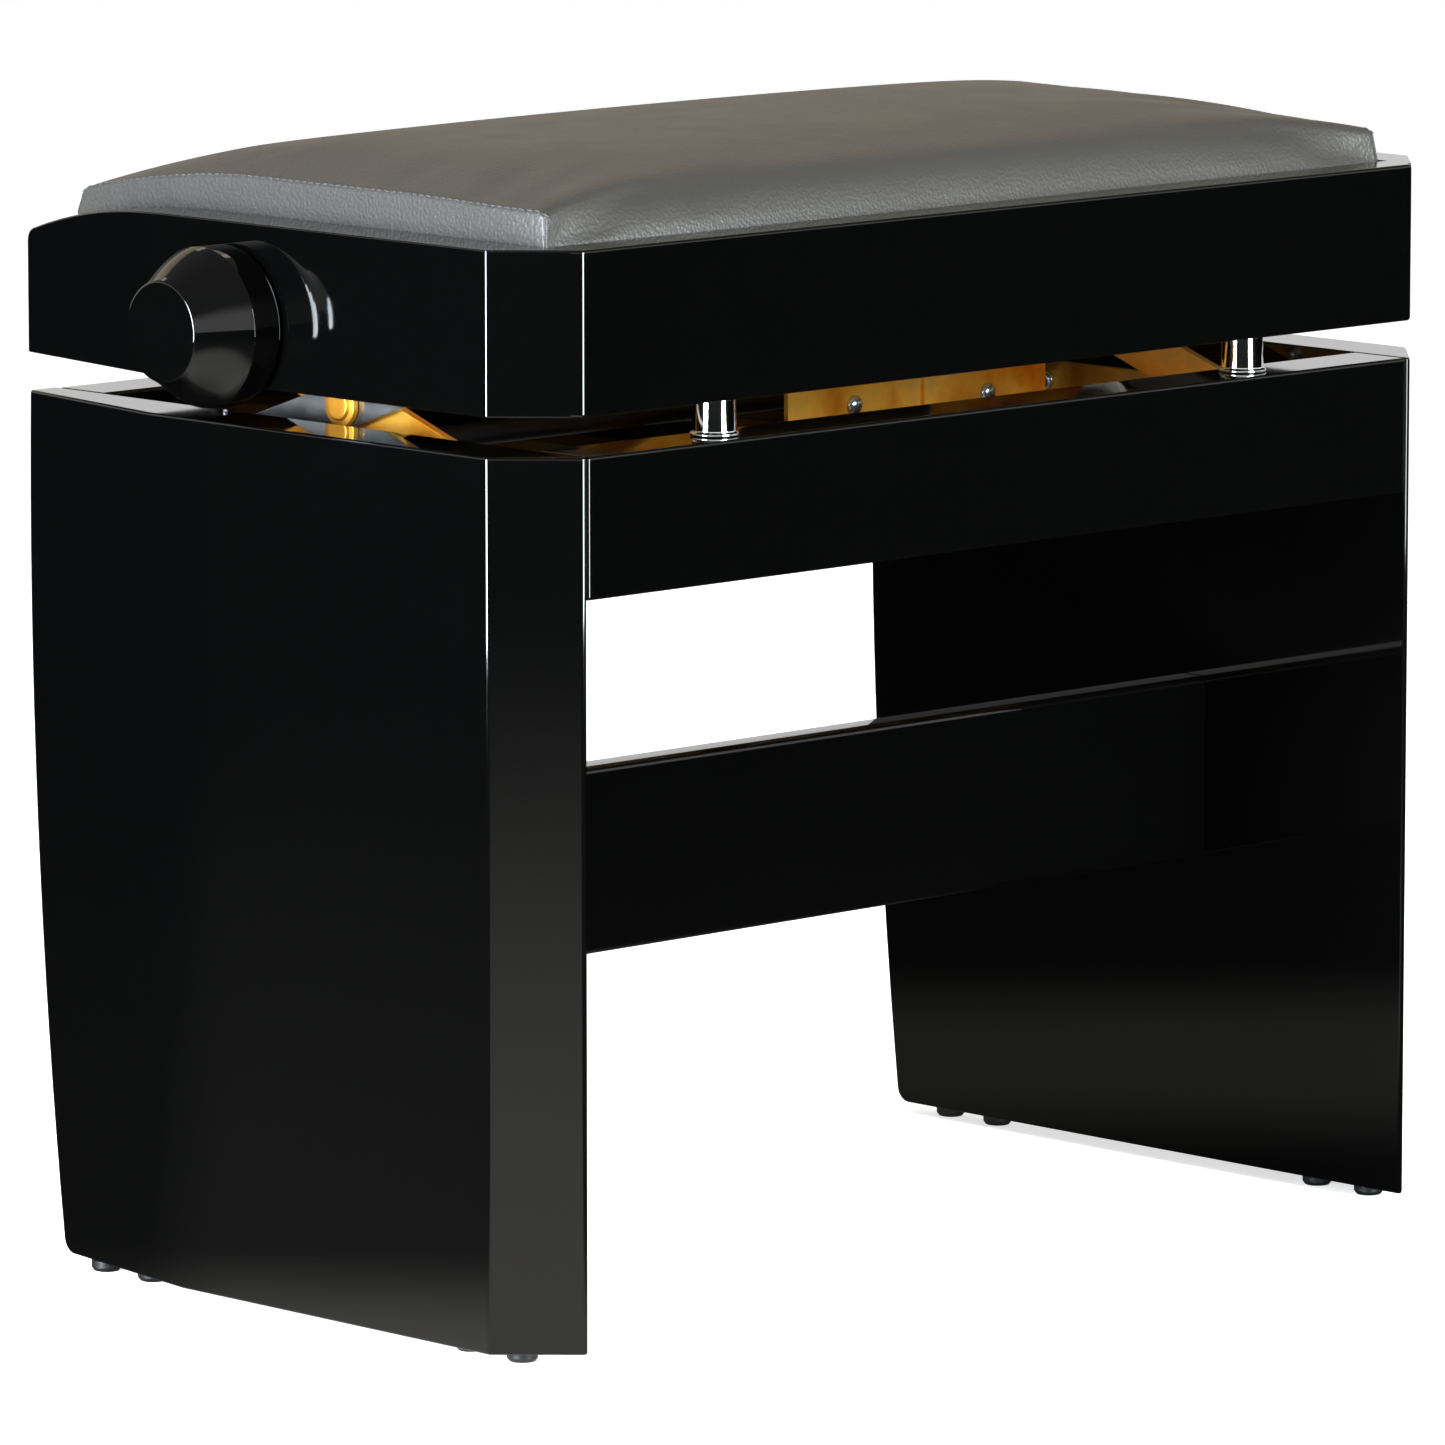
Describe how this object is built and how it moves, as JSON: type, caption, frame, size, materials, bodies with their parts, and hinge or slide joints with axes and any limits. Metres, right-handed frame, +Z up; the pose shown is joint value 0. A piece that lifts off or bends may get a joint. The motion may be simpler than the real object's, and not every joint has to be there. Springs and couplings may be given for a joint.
{
  "type": "piano bench",
  "caption": "Height-adjustable piano bench: padded seat frame on a scissor lift, raised by side hand knobs, over a black lacquered two-panel base.",
  "frame": {"origin": "centre of the footprint's box on the floor, under the middle of the bench", "axes": "+X along the bench towards the right knob, -Y towards the flat front with the chamfered corners, +Y towards the tapered back, +Z up"},
  "size_m": [0.627, 0.33, 0.487],
  "materials": {
    "black_lacquer": "polished black piano lacquer on fibreboard",
    "knob_lacquer": "polished black lacquer on turned beech",
    "leather": "black leatherette with a fine pebble grain",
    "plywood": "bare birch plywood",
    "zinc_steel": "pressed steel, yellow chromated zinc plate",
    "steel": "bright zinc plated steel",
    "dark_steel": "blackened steel",
    "chrome": "polished chrome plate",
    "brass": "machined brass",
    "foot_plastic": "black moulded plastic",
    "nylon": "natural nylon"
  },
  "bodies": {
    "base": {"left_leg_panel": "black_lacquer", "right_leg_panel": "black_lacquer", "front_rail": "black_lacquer", "back_rail": "black_lacquer", "stretcher": "black_lacquer", "left_foot_1": "foot_plastic", "left_foot_2": "foot_plastic", "left_foot_3": "foot_plastic", "left_foot_4": "foot_plastic", "right_foot_1": "foot_plastic", "right_foot_2": "foot_plastic", "right_foot_3": "foot_plastic", "right_foot_4": "foot_plastic", "left_front_stop": "chrome", "right_front_stop": "chrome", "left_back_stop": "chrome", "right_back_stop": "chrome", "left_lower_bracket": "zinc_steel", "right_lower_bracket": "zinc_steel", "jack_bed": "zinc_steel", "left_cross_bar": "zinc_steel", "right_cross_bar": "zinc_steel", "jack_pin": "steel"},
    "outer_scissor": {"left_outer_arm": "steel", "lower_pivot_rod": "dark_steel", "upper_glide_rod": "dark_steel", "left_upper_glide": "nylon", "left_centre_rivet": "zinc_steel", "right_outer_arm": "steel", "right_upper_glide": "nylon", "right_centre_rivet": "zinc_steel"},
    "inner_scissor": {"left_inner_arm": "zinc_steel", "upper_pivot_rod": "dark_steel", "lower_glide_rod": "dark_steel", "left_lower_glide": "nylon", "right_inner_arm": "zinc_steel", "right_lower_glide": "nylon"},
    "jack": {"jack_front_plate": "zinc_steel", "jack_back_plate": "zinc_steel"},
    "jack_nut": {"jack_nut": "brass"},
    "spindle_and_knobs": {"spindle": "steel", "left_knob": "knob_lacquer", "right_knob": "knob_lacquer", "left_collar": "steel", "right_collar": "steel"},
    "seat": {"left_seat_end": "black_lacquer", "right_seat_end": "black_lacquer", "seat_front_rail": "black_lacquer", "seat_back_rail": "black_lacquer", "seat_board": "plywood", "cushion": "leather", "left_upper_bracket": "zinc_steel", "right_upper_bracket": "zinc_steel", "left_spindle_bush": "nylon", "right_spindle_bush": "nylon"}
  },
  "joints": [
    {"name": "lift", "type": "hinge", "parent": "base", "child": "outer_scissor", "pos_m": [0, 0.10873, 0.34312], "axis": [-1, 0, 0], "range_deg": [0, 30.5]},
    {"name": "scissor_centre", "type": "hinge", "parent": "outer_scissor", "child": "inner_scissor", "pos_m": [0, 0, 0.38056], "axis": [1, 0, 0], "range_deg": [-1, 62]},
    {"name": "seat_pivot", "type": "hinge", "parent": "inner_scissor", "child": "seat", "pos_m": [0, 0.10873, 0.418], "axis": [-1, 0, 0], "range_deg": [-1, 31.5]},
    {"name": "jack_hinge", "type": "hinge", "parent": "base", "child": "jack", "pos_m": [0.149, 0.018, 0.34162], "axis": [0, 1, 0], "range_deg": [-1, 31.5]},
    {"name": "nut_pivot", "type": "hinge", "parent": "jack", "child": "jack_nut", "pos_m": [-0.06847, 0.018, 0.4165], "axis": [0, -1, 0], "range_deg": [-1, 31.5]},
    {"name": "spindle_turn", "type": "hinge", "parent": "seat", "child": "spindle_and_knobs", "pos_m": [0, 0.018, 0.4165], "axis": [1, 0, 0], "range_deg": [-10, 4170]}
  ],
  "couplings": [
    {"joint": "scissor_centre", "follows": "lift", "ratio": 2},
    {"joint": "seat_pivot", "follows": "lift", "ratio": 1},
    {"joint": "jack_hinge", "follows": "lift", "ratio": 1},
    {"joint": "nut_pivot", "follows": "lift", "ratio": 1},
    {"joint": "spindle_turn", "follows": "lift", "ratio": 135.8}
  ]
}
